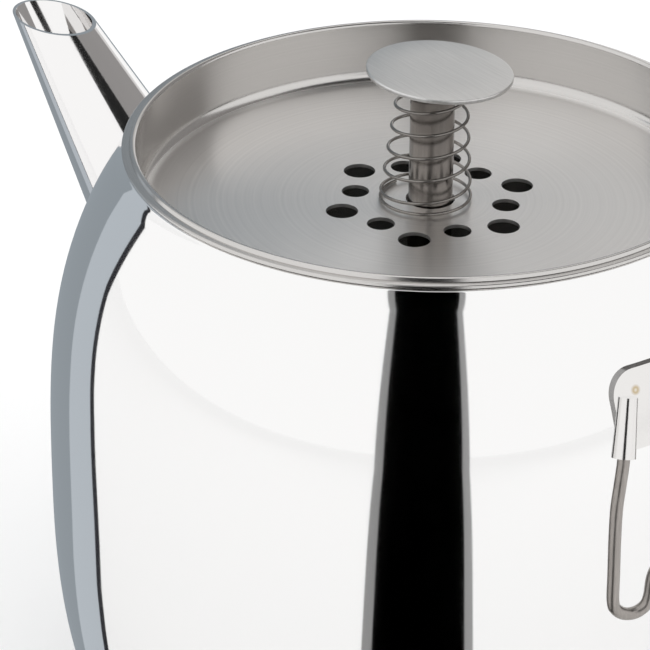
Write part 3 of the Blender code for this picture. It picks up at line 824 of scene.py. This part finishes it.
def make_studio():
    floor = bmesh.new()
    bmesh.ops.create_grid(floor, x_segments=1, y_segments=1, size=6.0)
    pale = new_material("pale_floor", (0.93, 0.93, 0.93), 0.9, metallic=0.0)
    stage_piece("studio_floor", floor, pale, only_in_reflections=False)
    front = [(0.060, 0.0, 0.0), (1.5, 0.0, 0.0), (1.5, 1.4, 0.0)]
    side = [
        (0.083, 0.0, 50.0),
        (0.15, 0.0, 27.0),
        (0.3, 0.0, 13.0),
        (1.5, 0.0, 0.0),
        (1.5, 0.5, 3.0),
        (1.5, 1.3, 14.0),
    ]
    warm = [(0.060, 0.0, 0.0), (1.7, 0.0, 0.0), (1.7, 2.2, 0.0), (0.85, 1.46, 0.0), (0.02, 1.62, 0.0)]
    for name, first, last, grey, height, rings in (
        ("dark_gap", -13.0, 8.6, (0.0, 0.0, 0.0), 0.0008, front),
        ("gap_edge_left", -15.4, -13.0, (0.30, 0.30, 0.30), 0.0009, front),
        ("gap_edge_right", 8.6, 10.6, (0.34, 0.34, 0.34), 0.0009, front),
        ("side_edge", -118.5, -116.0, (0.03, 0.03, 0.035), 0.0012, side),
        ("cool_side", -134.0, -118.5, (0.50, 0.545, 0.59), 0.0010, side),
        ("deep_side", -190.0, -134.0, (0.30, 0.335, 0.365), 0.0010, side),
        ("top_streak", -34.0, 100.0, (0.02, 0.02, 0.02), 0.0, [(0.85, 1.45, 0.0), (0.02, 1.6, 0.0)]),
        ("warm_side", 100.0, 150.0, (0.32, 0.31, 0.305), 0.0005, warm),
        ("back_wall", 125.0, 235.0, (0.74, 0.73, 0.72), 0.0, [(1.9, 0.55, 0.0), (1.9, 2.2, 0.0)]),
    ):
        card(name, first, last, [(d, z + height, turn) for d, z, turn in rings], grey, 1.0)
    world = bpy.data.worlds.new("studio")
    bpy.context.scene.world = world
    world.use_nodes = True
    background = world.node_tree.nodes["Background"]
    background.inputs["Color"].default_value = (1.0, 1.0, 1.0, 1.0)
    background.inputs["Strength"].default_value = 1.10
    for name, bearing, distance, height, size, power in (
        ("key_softbox", 60.0, 1.1, 1.1, 0.9, 1.6),
        ("fill_softbox", -50.0, 1.2, 1.2, 0.9, 1.2),
    ):
        light = bpy.data.lights.new(name, "AREA")
        light.size = size
        light.energy = power
        obj = bpy.data.objects.new(name, light)
        angle = CAMERA_BEARING + math.radians(bearing)
        obj.location = (distance * math.cos(angle), distance * math.sin(angle), height)
        aim = Vector((0, 0, RIM_HEIGHT)) - obj.location
        obj.rotation_euler = aim.to_track_quat("-Z", "Y").to_euler()
        obj.visible_glossy = False
        bpy.context.scene.collection.objects.link(obj)


def make_camera():
    bearing = Vector((math.cos(CAMERA_BEARING), math.sin(CAMERA_BEARING), 0.0))
    up = Vector((0.0, 0.0, 1.0))
    forward = -bearing * math.cos(CAMERA_PITCH) - up * math.sin(CAMERA_PITCH)
    right = forward.cross(up).normalized()
    view_up = right.cross(forward)
    rolled_right = right * math.cos(CAMERA_ROLL) + view_up * math.sin(CAMERA_ROLL)
    rolled_up = view_up * math.cos(CAMERA_ROLL) - right * math.sin(CAMERA_ROLL)
    place = Vector((0, 0, RIM_HEIGHT)) - forward * CAMERA_DISTANCE
    place += rolled_right * CAMERA_RIGHT + rolled_up * CAMERA_UP
    data = bpy.data.cameras.new("camera")
    data.lens = LENS
    data.sensor_width = SENSOR
    data.shift_x = SHIFT_X
    data.shift_y = SHIFT_Y
    data.clip_start = 0.01
    camera = bpy.data.objects.new("camera", data)
    axes = Matrix((rolled_right, rolled_up, -forward)).transposed().to_4x4()
    camera.matrix_world = Matrix.Translation(place) @ axes
    bpy.context.scene.collection.objects.link(camera)
    bpy.context.scene.camera = camera


make_camera()
make_studio()
make_pot()
make_spout()
make_bracket()
make_handle()
make_dish()
make_disc()
make_tube()
make_spring()
make_basket()
finish_packed_nodes()
bpy.context.scene.view_settings.view_transform = "Standard"
